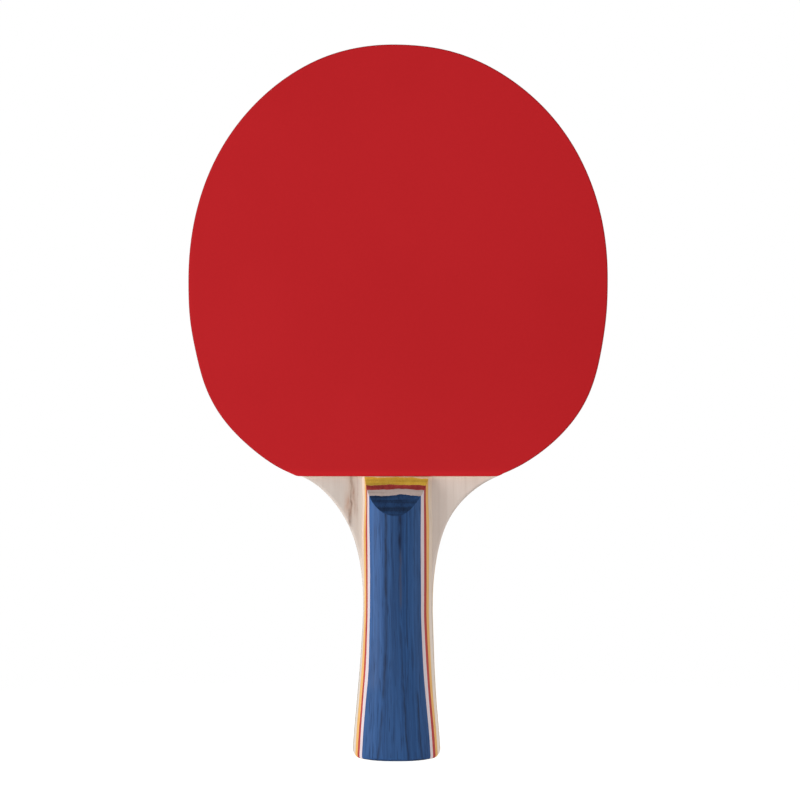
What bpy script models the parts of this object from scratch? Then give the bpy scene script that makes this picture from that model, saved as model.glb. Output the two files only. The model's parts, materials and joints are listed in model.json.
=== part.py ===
"""Table tennis paddle: a five-ply wooden blade with a flared, laminated handle
and a sponge-backed rubber on each face.

Frame (metres, +Z up)
  origin  centre of the flat end face of the handle
  +Z      along the handle towards the tip of the blade
  -Y      the side that carries the red rubber
  +X      across the blade, to the right when the red side faces the viewer

The paddle is a glued stack, mirrored about the plane y = 0.  Every layer is
its own solid, and a glue line of JOINT_GAP is left between neighbours.
Heights below ("h") are distances from the mid-plane; lengths are in
millimetres and are turned into metres where the meshes are made.
"""
import math

import bmesh
import bpy

# ---------------------------------------------------------------- dimensions
MM = 0.001
JOINT_GAP = 0.30            # glue line between neighbouring layers

# head outline: two half superellipses that share the widest line
HEAD_HALF_WIDTH = 76.0
HEAD_WIDEST_Z = 173.6
HEAD_TOP_Z = 259.5
HEAD_UPPER_POWER = 2.086
HEAD_LOWER_POWER = 2.465
HEAD_LOWER_HEIGHT = 76.4
RUBBER_LINE_Z = 103.0       # straight lower edge of both rubbers
RUBBER_OVERHANG = 0.3       # rubber trimmed a hair outside the wood

# shoulder: cubic curve from the head down into the neck
SHOULDER_TOP = (37.3, 103.1)
SHOULDER_TOP_PULL = (20.6, 96.4)
SHOULDER_NECK_PULL = (12.7, 80.6)
SHOULDER_END = (12.7, 56.6)

# handle: straight neck, flaring to the butt
NECK_HALF_WIDTH = 12.7
FLARE_START_Z = 53.6
FLARE_GAIN = 3.5
FLARE_POWER = 1.25
SCALE_TOP_GAIN = 0.6        # the scales widen again towards the head
HANDLE_HALF_THICKNESS = 12.5
SECTION_POWER = 2.05        # roundness of the handle's cross-section
BUTT_ROUND_LENGTH = 5.0     # rounding of the butt's perimeter
BUTT_ROUND_DEPTH = 2.2

# blade plies, from the middle outwards
CORE_HALF = 1.25
CROSS_PLY = 0.60
FACE_PLY = 0.65

# rubber
SPONGE = 1.50
TOPSHEET = 1.40

# handle scale layers, heights of their inner and outer faces
SCALE_BASE = (3.40, 4.45)
SCALE_YELLOW = (4.75, 6.25)
SCALE_RED = (6.55, 7.25)
SCALE_WHITE = (7.55, 8.45)
SCALE_BLUE_INNER = 8.75

# ramp planed across the top end of each scale
RAMP_TOP_Z = 102.55
RAMP_START_H = 4.40
RAMP_DROP = 1.05
RAMP_POWER = 1.225

# sampling
HEAD_STEPS = 20             # per quarter of the head
SHOULDER_STEPS = 12
ARC_STEPS = 12              # across the blue block's rounded back
STATIONS = (0.0, 0.35, 1.2, 2.6, 5.0, 11.0, 19.0, 27.0, 35.0, 44.0,
            53.6, 66.0, 78.0, 90.0, 106.0)


# ------------------------------------------------------------------ helpers
def clear_scene():
    for ob in list(bpy.data.objects):
        bpy.data.objects.remove(ob, do_unlink=True)


def material(name, rgb, roughness, metallic=0.0):
    mat = bpy.data.materials.new(name)
    mat.use_nodes = True
    bsdf = mat.node_tree.nodes["Principled BSDF"]
    bsdf.inputs["Base Color"].default_value = (rgb[0], rgb[1], rgb[2], 1.0)
    bsdf.inputs["Roughness"].default_value = roughness
    bsdf.inputs["Metallic"].default_value = metallic
    mat.diffuse_color = (rgb[0], rgb[1], rgb[2], 1.0)
    return mat


def add_object(name, bm, mat, smooth_angle=None):
    bmesh.ops.recalc_face_normals(bm, faces=bm.faces)
    mesh = bpy.data.meshes.new(name)
    bm.to_mesh(mesh)
    bm.free()
    if smooth_angle is not None:
        mesh.shade_smooth()
        mesh.set_sharp_from_angle(angle=math.radians(smooth_angle))
    ob = bpy.data.objects.new(name, mesh)
    bpy.context.scene.collection.objects.link(ob)
    mesh.materials.append(mat)
    return ob


def vert(bm, x, h, z, side):
    """side -1 is the front (towards -Y), +1 the back."""
    return bm.verts.new((x * MM, side * h * MM, z * MM))


# ----------------------------------------------------------------- outlines
def superellipse(u, power):
    return max(0.0, 1.0 - abs(u) ** power) ** (1.0 / power)


def butt_inset(z):
    """How far the perimeter is rounded in near the end of the handle."""
    if z >= BUTT_ROUND_LENGTH:
        return 0.0
    u = 1.0 - z / BUTT_ROUND_LENGTH
    return BUTT_ROUND_DEPTH * (1.0 - math.sqrt(max(0.0, 1.0 - u * u)))


def handle_half_width(z):
    """Half width of the handle at the mid-plane."""
    if z < FLARE_START_Z:
        u = (FLARE_START_Z - z) / FLARE_START_Z
        return NECK_HALF_WIDTH + FLARE_GAIN * u ** FLARE_POWER - butt_inset(z)
    u = (z - FLARE_START_Z) / (RUBBER_LINE_Z - FLARE_START_Z)
    return NECK_HALF_WIDTH + SCALE_TOP_GAIN * u * u


def handle_half_thickness(z):
    return HANDLE_HALF_THICKNESS - butt_inset(z)


def section_factor(h, z):
    """Width of the rounded section at height h, against the mid-plane."""
    return superellipse(h / handle_half_thickness(z), SECTION_POWER)


def section_height(x, z):
    """Height of the rounded back of the handle above the mid-plane."""
    return (handle_half_thickness(z)
            * superellipse(x / handle_half_width(z), SECTION_POWER))


def head_half(grow):
    """Right half of the head from the bottom cut to the tip: (x, z)."""
    a = HEAD_HALF_WIDTH + grow
    low = HEAD_LOWER_HEIGHT + grow
    up = HEAD_TOP_Z - HEAD_WIDEST_Z + grow
    pts = []
    for i in range(HEAD_STEPS + 1):
        # angle from the cut up to the widest line
        cut = (HEAD_WIDEST_Z - RUBBER_LINE_Z) / low
        t0 = math.asin(cut ** (HEAD_LOWER_POWER / 2.0))
        t = t0 * (1.0 - i / HEAD_STEPS)
        x = a * math.cos(t) ** (2.0 / HEAD_LOWER_POWER)
        z = HEAD_WIDEST_Z - low * math.sin(t) ** (2.0 / HEAD_LOWER_POWER)
        pts.append((x, z))
    for i in range(1, HEAD_STEPS + 1):
        t = 0.5 * math.pi * i / HEAD_STEPS
        x = a * max(0.0, math.cos(t)) ** (2.0 / HEAD_UPPER_POWER)
        z = HEAD_WIDEST_Z + up * math.sin(t) ** (2.0 / HEAD_UPPER_POWER)
        pts.append((x, z))
    pts[-1] = (0.0, pts[-1][1])
    return pts


def shoulder():
    """Cubic curve from the neck up to the head: (x, z)."""
    p0, p1, p2, p3 = (SHOULDER_END, SHOULDER_NECK_PULL,
                      SHOULDER_TOP_PULL, SHOULDER_TOP)
    pts = []
    for i in range(SHOULDER_STEPS + 1):
        t = i / SHOULDER_STEPS
        s = 1.0 - t
        pts.append(tuple(s ** 3 * p0[k] + 3 * s * s * t * p1[k]
                         + 3 * s * t * t * p2[k] + t ** 3 * p3[k]
                         for k in (0, 1)))
    return pts


def ply_half(h):
    """Right half of a full-length ply's outline at height h."""
    pts = []
    for z in (0.0, 0.35, 1.2, 2.6, 5.0, 12.0, 20.0, 28.0, 37.0, 47.0):
        pts.append((handle_half_width(z) * section_factor(h, z), z))
    for x, z in shoulder():
        # the rounded section fades into the square edge of the shoulder
        fade = min(1.0, max(0.0, (z - 57.0) / 25.0))
        fade = fade * fade * (3.0 - 2.0 * fade)
        pts.append((x * (section_factor(h, z) * (1.0 - fade) + fade), z))
    top = SHOULDER_TOP[1] + 0.4
    pts += [p for p in head_half(-RUBBER_OVERHANG) if p[1] > top]
    return pts


# ------------------------------------------------------------------- pieces
def stack_solid(name, mat, rings):
    """Closed solid through rings of equal length; each ring is
    (half outline, signed height); the ends are capped."""
    bm = bmesh.new()
    loops = []
    for half, y in rings:
        right = [bm.verts.new((x * MM, y * MM, z * MM)) for x, z in half]
        left = [bm.verts.new((-x * MM, y * MM, z * MM))
                for x, z in reversed(half) if x > 1e-6]
        loops.append(right + left)
    for a, b in zip(loops, loops[1:]):
        n = len(a)
        for i in range(n):
            bm.faces.new((a[i], a[(i + 1) % n], b[(i + 1) % n], b[i]))
    bm.faces.new(loops[0])
    bm.faces.new(list(reversed(loops[-1])))
    return add_object(name, bm, mat, 30.0)


def ply(name, mat, h_in, h_out, side):
    return stack_solid(name, mat, [(ply_half(h_in), side * h_in),
                                   (ply_half(h_out), side * h_out)])


def rubber_layer(name, mat, h_in, h_out, side):
    half = head_half(0.0)
    return stack_solid(name, mat, [(half, side * h_in), (half, side * h_out)])


def loft(name, mat, section, side):
    """Closed solid through the stations; section(z) gives (x, h) pairs."""
    bm = bmesh.new()
    rings = [[vert(bm, x, h, z, side) for x, h in section(z)]
             for z in STATIONS]
    for a, b in zip(rings, rings[1:]):
        n = len(a)
        for i in range(n):
            bm.faces.new((a[i], a[(i + 1) % n], b[(i + 1) % n], b[i]))
    bm.faces.new(rings[0])
    bm.faces.new(list(reversed(rings[-1])))
    return add_object(name, bm, mat, 30.0)


def veneer_section(h_in, h_out):
    def section(z):
        w_in = handle_half_width(z) * section_factor(h_in, z)
        w_out = handle_half_width(z) * section_factor(h_out, z)
        return [(-w_in, h_in), (w_in, h_in), (w_out, h_out), (-w_out, h_out)]
    return section


def block_section(h_in):
    def section(z):
        w = handle_half_width(z) * section_factor(h_in, z)
        pts = [(-w, h_in), (w, h_in)]
        for i in range(1, ARC_STEPS):
            x = w * math.cos(math.pi * i / ARC_STEPS)
            pts.append((x, section_height(x, z)))
        return pts
    return section


def ramp_height_drop(h):
    return RAMP_TOP_Z - RAMP_DROP * max(0.0, h - RAMP_START_H) ** RAMP_POWER


def ramp_cutter(name, side):
    """Wedge that planes the top end of a scale; extruded across X."""
    heights = [2.0, RAMP_START_H] + [RAMP_START_H + 0.9 * i
                                     for i in range(1, 11)]
    profile = [(ramp_height_drop(h), h) for h in heights]
    profile += [(118.0, heights[-1]), (118.0, heights[0])]
    bm = bmesh.new()
    left = [vert(bm, -24.0, h, z, side) for z, h in profile]
    right = [vert(bm, 24.0, h, z, side) for z, h in profile]
    n = len(profile)
    for i in range(n):
        bm.faces.new((left[i], left[(i + 1) % n],
                      right[(i + 1) % n], right[i]))
    bm.faces.new(left)
    bm.faces.new(list(reversed(right)))
    ob = add_object(name, bm, MAT["guide"])
    ob.hide_render = True
    ob.display_type = 'WIRE'
    return ob


def plane_ramp(ob, cutter):
    mod = ob.modifiers.new("ramp", 'BOOLEAN')
    mod.operation = 'DIFFERENCE'
    mod.solver = 'EXACT'
    mod.object = cutter


# --------------------------------------------------------------------- main
clear_scene()

MAT = {
    "guide": material("guide", (0.5, 0.5, 0.5), 0.9),
    "core": material("limba_core", (0.62, 0.47, 0.32), 0.75),
    "cross": material("cross_ply_wood", (0.55, 0.38, 0.24), 0.75),
    "face": material("basswood_face", (0.68, 0.56, 0.46), 0.70),
    "sponge": material("sponge", (0.72, 0.38, 0.16), 0.95),
    "red": material("red_rubber", (0.48, 0.014, 0.019), 0.62),
    "black": material("black_rubber", (0.012, 0.012, 0.013), 0.60),
    "pale": material("pale_veneer", (0.70, 0.56, 0.42), 0.65),
    "yellow": material("yellow_veneer", (0.62, 0.36, 0.06), 0.60),
    "crimson": material("red_veneer", (0.34, 0.03, 0.03), 0.60),
    "white": material("white_veneer", (0.72, 0.66, 0.62), 0.60),
    "blue": material("blue_block", (0.035, 0.085, 0.21), 0.50),
}

# blade plies
ply("blade_core_ply", MAT["core"], -CORE_HALF, CORE_HALF, 1)
h1 = CORE_HALF + JOINT_GAP
h2 = h1 + CROSS_PLY
h3 = h2 + JOINT_GAP
h4 = h3 + FACE_PLY
for side, tag in ((-1, "front"), (1, "back")):
    ply("blade_cross_ply_" + tag, MAT["cross"], h1, h2, side)
    ply("blade_face_ply_" + tag, MAT["face"], h3, h4, side)

# rubbers
h5 = h4 + JOINT_GAP
h6 = h5 + SPONGE
h7 = h6 + JOINT_GAP
h8 = h7 + TOPSHEET
for side, tag, sheet in ((-1, "front", "red"), (1, "back", "black")):
    rubber_layer("rubber_sponge_" + tag, MAT["sponge"], h5, h6, side)
    rubber_layer("rubber_topsheet_%s_%s" % (tag, sheet), MAT[sheet],
                 h7, h8, side)

# handle scales
for side, tag in ((-1, "front"), (1, "back")):
    cutter = ramp_cutter("guide_ramp_" + tag, side)
    for name, mat, (lo, hi) in (("base", "pale", SCALE_BASE),
                                ("yellow", "yellow", SCALE_YELLOW),
                                ("red", "crimson", SCALE_RED),
                                ("white", "white", SCALE_WHITE)):
        plane_ramp(loft("scale_%s_%s_veneer" % (tag, name), MAT[mat],
                        veneer_section(lo, hi), side), cutter)
    plane_ramp(loft("scale_%s_blue_block" % tag, MAT["blue"],
                    block_section(SCALE_BLUE_INNER), side), cutter)
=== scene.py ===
"""Looks of the table tennis paddle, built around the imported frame.

Every CAD layer is replaced by a finer piece of the same layer: the layers meet
at their glue lines, the handle is carved and planed as a hand would leave it,
and the rubbers have their sponge, pimples and trimmed edges.
Lengths inside the helpers are millimetres; meshes are made in metres.
"""
import json
import math

import bmesh
import bpy
import numpy as np
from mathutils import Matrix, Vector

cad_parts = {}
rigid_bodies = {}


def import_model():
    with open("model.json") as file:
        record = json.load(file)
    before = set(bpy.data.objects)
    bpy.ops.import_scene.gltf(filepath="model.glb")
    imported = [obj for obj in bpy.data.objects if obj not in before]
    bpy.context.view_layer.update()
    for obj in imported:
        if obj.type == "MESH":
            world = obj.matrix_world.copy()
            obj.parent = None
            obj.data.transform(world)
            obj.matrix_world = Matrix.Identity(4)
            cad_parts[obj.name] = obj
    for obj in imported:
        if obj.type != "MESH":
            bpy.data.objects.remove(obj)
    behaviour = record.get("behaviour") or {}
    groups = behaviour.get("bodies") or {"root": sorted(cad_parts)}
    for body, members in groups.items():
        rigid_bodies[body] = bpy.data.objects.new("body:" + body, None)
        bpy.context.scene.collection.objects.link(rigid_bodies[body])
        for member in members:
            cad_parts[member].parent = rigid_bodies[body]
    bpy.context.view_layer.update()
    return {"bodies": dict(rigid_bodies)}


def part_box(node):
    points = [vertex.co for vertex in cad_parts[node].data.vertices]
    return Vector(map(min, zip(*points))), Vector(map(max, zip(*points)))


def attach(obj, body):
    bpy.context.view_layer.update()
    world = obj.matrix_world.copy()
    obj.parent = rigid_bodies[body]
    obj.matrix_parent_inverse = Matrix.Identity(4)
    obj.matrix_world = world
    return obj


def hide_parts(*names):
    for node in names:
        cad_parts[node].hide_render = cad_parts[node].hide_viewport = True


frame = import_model()

MM = 0.001


def mm_box(node):
    lo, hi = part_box(node)
    return [v / MM for v in lo], [v / MM for v in hi]


# ------------------------------------------------------- sizes from the frame
_lo, _hi = mm_box("rubber_topsheet_front_red")
HEAD_A = 0.5 * (_hi[0] - _lo[0])          # half width of the rubbers
LINE_Z, TIP_Z = _lo[2], _hi[2]            # straight lower edge, tip
RUBBER_Z = LINE_Z - 0.24                  # the edge as it was really cut
SHEET_H = -_lo[1]                         # outer face of the topsheets
_lo, _hi = mm_box("blade_face_ply_front")
FACE_H = -_lo[1]                          # outer face of the blade
WOOD_GROW = 0.5 * (_hi[0] - _lo[0]) - HEAD_A
_lo, _hi = mm_box("scale_front_blue_block")
HANDLE_B = -_lo[1]                        # half thickness of the handle
_lo, _hi = mm_box("scale_front_base_veneer")
RAMP_TOP = _hi[2]

HEAD_WIDE_Z = 173.6
HEAD_LOW = 76.4
P_UP, P_LOW = 2.086, 2.465
NECK_A, FLARE_Z, FLARE_GAIN, FLARE_POW, TOP_GAIN = 12.7, 53.6, 3.5, 1.25, 0.6
BUTT_DOME, BUTT_WIDE, BUTT_TALL = 1.15, 2.6, 2.9     # end of the handle
FRONT_DEEP, FRONT_LONG = 0.75, 1.5
BUTT_REACH = 12.0
SHOULDER = ((12.7, 56.6), (12.7, 80.6), (20.6, 96.4), (37.3, 103.1))
RAMP_DROP, RAMP_CURVE = 1.60, 0.020
RAMP_GAP = 0.12                           # from the rubber to the scale's end

# heights of the glue lines in each scale, outwards from the blade's face
H_PALE, H_YELLOW, H_RED, H_WHITE = 4.60, 6.40, 7.40, 8.60
GLUE = 0.02

# heights in the blade and the rubber
H_CORE, H_CROSS = 1.40, 2.30
H_SPONGE = (FACE_H + 0.03, 5.00)
H_PIPS = 5.02
H_SHEET = 5.90


# ------------------------------------------------------------------ the laws
def sup(u, p):
    return np.maximum(0.0, 1.0 - np.abs(u) ** p) ** (1.0 / p)


def step(z, a, b):
    t = np.clip((np.asarray(z, float) - a) / (b - a), 0.0, 1.0)
    return t * t * (3.0 - 2.0 * t)


def axis_x(z):
    """The handle leans a hair to the left towards its end."""
    z = np.asarray(z, float)
    return (-0.48 * (1.0 - step(z, 0.0, 62.0))
            - 0.13 * np.exp(-((z - 22.0) / 16.0) ** 2))


def half_a(z):
    z = np.asarray(z, float)
    lowp = NECK_A + FLARE_GAIN * np.clip((FLARE_Z - z) / FLARE_Z, 0, 1) ** FLARE_POW
    up = TOP_GAIN * np.clip((z - FLARE_Z) / (LINE_Z - FLARE_Z), 0, 1) ** 2
    rasp = (0.10 * np.exp(-((z - 10.0) / 7.0) ** 2)
            - 0.12 * np.exp(-((z - 31.0) / 11.0) ** 2))
    return lowp + up + rasp


BUTT_A = float(half_a(2.5))


def butt_z(x):
    """The end of the handle, sanded to a slight dome with round corners."""
    u = np.clip(np.abs(x - axis_x(2.5)) / BUTT_A, 0.0, 1.0)
    v = np.clip(1.0 - (1.0 - u) * BUTT_A / BUTT_WIDE, 0.0, 1.0)
    return BUTT_DOME * u ** 3 + BUTT_TALL * (1.0 - np.sqrt(1.0 - v * v))


def shift_z(x, z):
    """Station z, pushed up where the end of the handle is rounded off."""
    return z + butt_z(x) * np.clip(1.0 - z / BUTT_REACH, 0.0, 1.0) ** 2


def half_b(z, x=None):
    if x is None:
        return HANDLE_B + 0.0 * np.asarray(z, float)
    u = np.clip(1.0 - (z - butt_z(x)) / FRONT_LONG, 0.0, 1.0)
    return HANDLE_B - FRONT_DEEP * (1.0 - np.sqrt(1.0 - u * u))


def powers(z, mirror):
    """Roundness of the carved section, left and right; a handle shaped by
    hand is never quite the same on its two sides."""
    z = np.asarray(z, float)
    left = 2.16 + 0.20 * step(z, 30, 54) + 0.05 * step(z, 78, 92)
    right = 2.10 - 0.35 * step(z, 5, 55) - 0.07 * step(z, 60, 95)
    return (right, left) if mirror else (left, right)


def flank(h, z, side, mirror):
    """What the rasp did to the plain section: near the rubber the flanks are
    steeper, and the foot of each scale runs out onto the blade."""
    h, z = np.asarray(h, float), np.asarray(z, float)
    bare = (side < 0) != mirror
    lean = (0.74 if bare else 0.70) * step(z, 80 if bare else 84, 97)
    low = 1.0 - step(h, 3.6, 10.8 if bare else 8.9)
    foot = 0.55 * step(z, 60, 76) + 0.35 * step(z, 86, 97)
    run = np.exp(-np.maximum(0.0, h - FACE_H) / 0.75) * step(h, FACE_H - 0.9, FACE_H)
    return foot * run - lean * low


def width_at(h, z, side, mirror):
    """Half width of the section at height h; side -1 left, +1 right."""
    pl, pr = powers(z, mirror)
    p = pl if side < 0 else pr
    return (half_a(z) * sup(np.asarray(h) / half_b(z), p)
            + flank(h, z, side, mirror))


def height_at(x, z, mirror):
    """Height of the carved surface over x, found by halving."""
    x, z = np.broadcast_arrays(np.asarray(x, float), np.asarray(z, float))
    pl, pr = powers(z, mirror)
    dx = x - axis_x(z)
    a, b = half_a(z), half_b(z, x)
    lo, hi = np.zeros_like(dx), b * 1.0
    for _ in range(26):
        h = 0.5 * (lo + hi)
        w = np.where(dx < 0,
                     a * sup(h / b, pl) + flank(h, z, -1, mirror),
                     a * sup(h / b, pr) + flank(h, z, 1, mirror))
        inside = w > np.abs(dx)
        lo, hi = np.where(inside, h, lo), np.where(inside, hi, h)
    return 0.5 * (lo + hi)


RAMP_H0 = 4.60 - (RUBBER_Z - RAMP_GAP - RAMP_TOP + 0.1) / RAMP_DROP


def ramp_z(h):
    u = np.maximum(0.0, h - RAMP_H0)
    return RUBBER_Z - RAMP_GAP - RAMP_DROP * u - RAMP_CURVE * u * u


def ripple(x, z, seed):
    s = seed * 1.7
    return (0.045 * np.sin(0.62 * x + 0.035 * z + s)
            + 0.030 * np.sin(1.31 * x - 0.051 * z + 2.1 * s)
            + 0.020 * np.sin(2.3 * x + 0.13 * z + 3.3 * s)
            + 0.013 * np.sin(4.7 * x + 0.21 * z + 5.1 * s)
            + 0.022 * np.sin(0.17 * z + 1.3 * s))


def glue_height(k, x, z, mirror):
    """Height of glue line k: veneers never lie perfectly flat."""
    base = (FACE_H, H_PALE, H_YELLOW, H_RED, H_WHITE)[k]
    if k == 0:
        return base + 0.0 * x
    sx = -1.0 if mirror else 1.0
    bulge = (0, 0.05, -0.14, -0.26, -0.28)[k]
    mid = (0, -3.0, -1.0, 0.4, 1.4)[k]
    wide = (1, 6.0, 7.0, 3.6, 3.8)[k]
    h = base + bulge * np.exp(-((x * sx - mid) / wide) ** 2)
    low = 1.0 - step(z, 0.0, 38.0)
    if k == 1:
        h = h + 0.42 * low * step(np.abs(x), 6, 10) + 0.40 * step(x * sx, 5, 9) * (1 - low)
    if k == 4:
        h = h - 0.24 * low
    return h + ripple(x * sx, z, k + (10 if mirror else 0))


# ------------------------------------------------------------- mesh plumbing
def make_mesh(name, verts, faces, angle=28.0):
    mesh = bpy.data.meshes.new(name)
    mesh.from_pydata([tuple(v) for v in verts], [], faces)
    bm = bmesh.new()
    bm.from_mesh(mesh)
    bmesh.ops.remove_doubles(bm, verts=bm.verts, dist=1e-7)
    bmesh.ops.dissolve_degenerate(bm, dist=1e-7, edges=bm.edges)
    bmesh.ops.recalc_face_normals(bm, faces=bm.faces)
    bm.to_mesh(mesh)
    bm.free()
    mesh.update()
    mesh.shade_smooth()
    mesh.set_sharp_from_angle(angle=math.radians(angle))
    ob = bpy.data.objects.new(name, mesh)
    bpy.context.scene.collection.objects.link(ob)
    return ob


def to_world(x, h, z, side):
    """side -1 is the front, towards -Y."""
    x, h, z = np.broadcast_arrays(x, h, z)
    return np.stack([x * MM, side * h * MM, z * MM], axis=-1)


def ring_faces(n, a, b):
    return [(a + i, a + (i + 1) % n, b + (i + 1) % n, b + i) for i in range(n)]


def hash_noise(i, seed):
    v = np.sin(np.asarray(i, float) * 12.9898 + seed * 78.233) * 43758.5453
    return v - np.floor(v)


# ----------------------------------------------------------------- outlines
def trim(theta):
    """Unevenness of a rubber cut round a blade with a knife (degrees)."""
    def bump(at, wide, high):
        d = (theta - at + 180.0) % 360.0 - 180.0
        return high * np.exp(-(d / wide) ** 2)
    # a slightly full shoulder low on the right, flats where the knife ran on
    return (bump(-54, 11, -0.38) + bump(-33, 9, 0.42) + bump(-17, 8, -0.27)
            + bump(16, 16, 0.15) + bump(60, 17, -0.52) + bump(86, 9, -0.24)
            + bump(108, 7, 0.10) + bump(128, 15, -0.23) + bump(200, 8, -0.50)
            + bump(228, 10, -0.62) + bump(-62, 4, -0.30) + bump(242, 3.5, -0.17))


def head_right(grow, n_low, n_up, line=LINE_Z):
    a, low, up = HEAD_A + grow, HEAD_LOW + grow, TIP_Z - HEAD_WIDE_Z + grow
    cut = (HEAD_WIDE_Z - line) / low
    t0 = math.asin(cut ** (P_LOW / 2))
    t = t0 * (1 - np.linspace(0, 1, n_low))
    xl = a * np.cos(t) ** (2 / P_LOW)
    zl = HEAD_WIDE_Z - low * np.sin(t) ** (2 / P_LOW)
    t = np.linspace(0, math.pi / 2, n_up)[1:]
    xu = a * np.maximum(0, np.cos(t)) ** (2 / P_UP)
    zu = HEAD_WIDE_Z + up * np.sin(t) ** (2 / P_UP)
    xu[-1] = 0.0
    return np.concatenate([xl, xu]), np.concatenate([zl, zu])


def resample(x, z, gap):
    """Points at an even gap along the polyline, ends kept."""
    d = np.concatenate([[0], np.cumsum(np.hypot(np.diff(x), np.diff(z)))])
    n = max(2, int(round(d[-1] / gap)) + 1)
    s = np.linspace(0, d[-1], n)
    return np.interp(s, d, x), np.interp(s, d, z)


def closed(xr, zr, trim_share):
    """Whole outline, right side up then left side down, with the trim."""
    x = np.concatenate([xr, -xr[-2::-1]])
    z = np.concatenate([zr, zr[-2::-1]])
    th = np.degrees(np.arctan2(z - HEAD_WIDE_Z, x))
    w = trim_share * step(z, LINE_Z - 1.5, LINE_Z + 0.8)
    r = trim(th) * w
    ang = np.radians(th)
    return np.stack([x + r * np.cos(ang), z + r * np.sin(ang)], axis=1)


def normals(p):
    t = np.roll(p, -1, axis=0) - np.roll(p, 1, axis=0)
    n = np.stack([t[:, 1], -t[:, 0]], axis=1)
    return n / np.maximum(1e-9, np.linalg.norm(n, axis=1))[:, None]


def inset(p, d):
    return p - normals(p) * np.asarray(d).reshape(-1, 1)


def rubber_outline(grow, gap, corner=0.9):
    x, z = head_right(grow, 900, 1200, RUBBER_Z)
    x, z = resample(x, z, gap)
    p = closed(x, z, 1.0)
    # the straight lower edge, cut with a blade against a ruler
    n = max(8, int(2 * x[0] / gap))
    xs = np.linspace(p[-1, 0], p[0, 0], n + 1)[1:-1]
    zs = RUBBER_Z + 0.012 * np.sin(xs * 0.11 + 0.6) + 0.008 * np.sin(xs * 0.9)
    p = np.concatenate([p, np.stack([xs, zs], axis=1)])
    # knock the two corners off a little
    for _ in range(max(1, int(corner / gap))):
        q = p.copy()
        near = (np.abs(np.abs(p[:, 0]) - x[0]) < 2.2) & (p[:, 1] < RUBBER_Z + 1.6)
        m = 0.5 * (np.roll(p, 1, axis=0) + np.roll(p, -1, axis=0))
        q[near] = 0.5 * p[near] + 0.5 * m[near]
        p = q
    return p


def shoulder_curve(n):
    t = np.linspace(0, 1, n)[:, None]
    a, b, c, d = [np.array(v) for v in SHOULDER]
    q = (1 - t) ** 3 * a + 3 * (1 - t) ** 2 * t * b + 3 * (1 - t) * t * t * c + t ** 3 * d
    return q[:, 0], q[:, 1]


def ply_right():
    """Right half of the full-length outline at the mid-plane."""
    z1 = np.concatenate([np.linspace(8.0, 56.0, 44)])
    x2, z2 = shoulder_curve(400)
    keep = z2 > 56.8
    x2, z2 = resample(x2[keep], z2[keep], 0.9)
    x3, z3 = head_right(WOOD_GROW, 900, 1200)
    keep = z3 > SHOULDER[3][1] + 0.5
    x3, z3 = resample(x3[keep], z3[keep], 1.3)
    return z1, (x2, z2), (x3, z3)


_Z1, _SH, _HD = ply_right()


def butt_end(h, s):
    """From the middle of the end round its corner, up to z = 8."""
    w = float(width_at(h, 2.5, s, False))
    for _ in range(5):
        top = float(butt_z(axis_x(2.5) + s * w))
        w = float(width_at(h, top, s, False))
    t = np.linspace(0, 1, 40)
    x = w * (1 - (1 - t) ** 2.0)
    z = butt_z(axis_x(2.5) + s * x)
    zz = np.linspace(top, 8.0, 8)[1:-1]
    return (np.concatenate([x, width_at(h, zz, s, False)]),
            np.concatenate([z, zz]))


def ply_outline(h, extra=0.0):
    """Closed outline of the blade at height h: carved with the handle below
    the neck, square at the head, sanded round along the shoulders."""
    sides = []
    for s in (1, -1):
        x0, z0 = butt_end(h, s)
        w = width_at(h, _Z1, s, False)
        p = powers(_SH[1], False)[0 if s < 0 else 1]
        fade = step(_SH[1], 57.0, 80.0)
        x2 = _SH[0] * (sup(h / half_b(_SH[1]), p) * (1 - fade) + fade)
        sides.append((np.concatenate([x0, w, x2, _HD[0]]),
                      np.concatenate([z0, _Z1, _SH[1], _HD[1]])))
    (xr, zr), (xl, zl) = sides
    # the two shoulders were rasped by eye
    xr = xr - 0.55 * np.exp(-((zr - 88.0) / 11.0) ** 2) * step(zr, 60, 74)
    xl = xl - 1.1 * np.exp(-((zl - 103.0) / 6.0) ** 2) * (1 - step(zl, 103, 112))
    right = np.stack([axis_x(zr) + xr, zr], axis=1)
    left = np.stack([axis_x(zl) - xl, zl], axis=1)
    right[0] = left[0] = 0.5 * (right[0] + left[0])
    right[-1] = left[-1] = 0.5 * (right[-1] + left[-1])
    p = np.concatenate([right, left[-2:0:-1]])
    th = np.degrees(np.arctan2(p[:, 1] - HEAD_WIDE_Z, p[:, 0]))
    r = 0.85 * trim(th) * step(p[:, 1], LINE_Z + 2, LINE_Z + 14)
    ang = np.radians(th)
    p = p + np.stack([r * np.cos(ang), r * np.sin(ang)], axis=1)
    # sanded edge along the shoulders
    rad = 1.05
    over = max(0.0, abs(h) - (FACE_H - rad))
    d = rad - math.sqrt(max(0.0, rad * rad - over * over))
    zone = step(p[:, 1], 58, 74) * (1 - step(p[:, 1], LINE_Z - 0.6, LINE_Z + 1.0))
    return inset(p, d * zone + extra)


def paired_cap(first, n_side):
    """Cap of a closed outline whose two halves pair up by index."""
    n = 2 * n_side - 2
    faces = [(first, first + 1, first + n - 1)]
    for i in range(1, n_side - 2):
        faces.append((first + i, first + i + 1, first + n - i - 1, first + n - i))
    i = n_side - 2
    faces.append((first + i, first + i + 1, first + n - i))
    return faces


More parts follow.
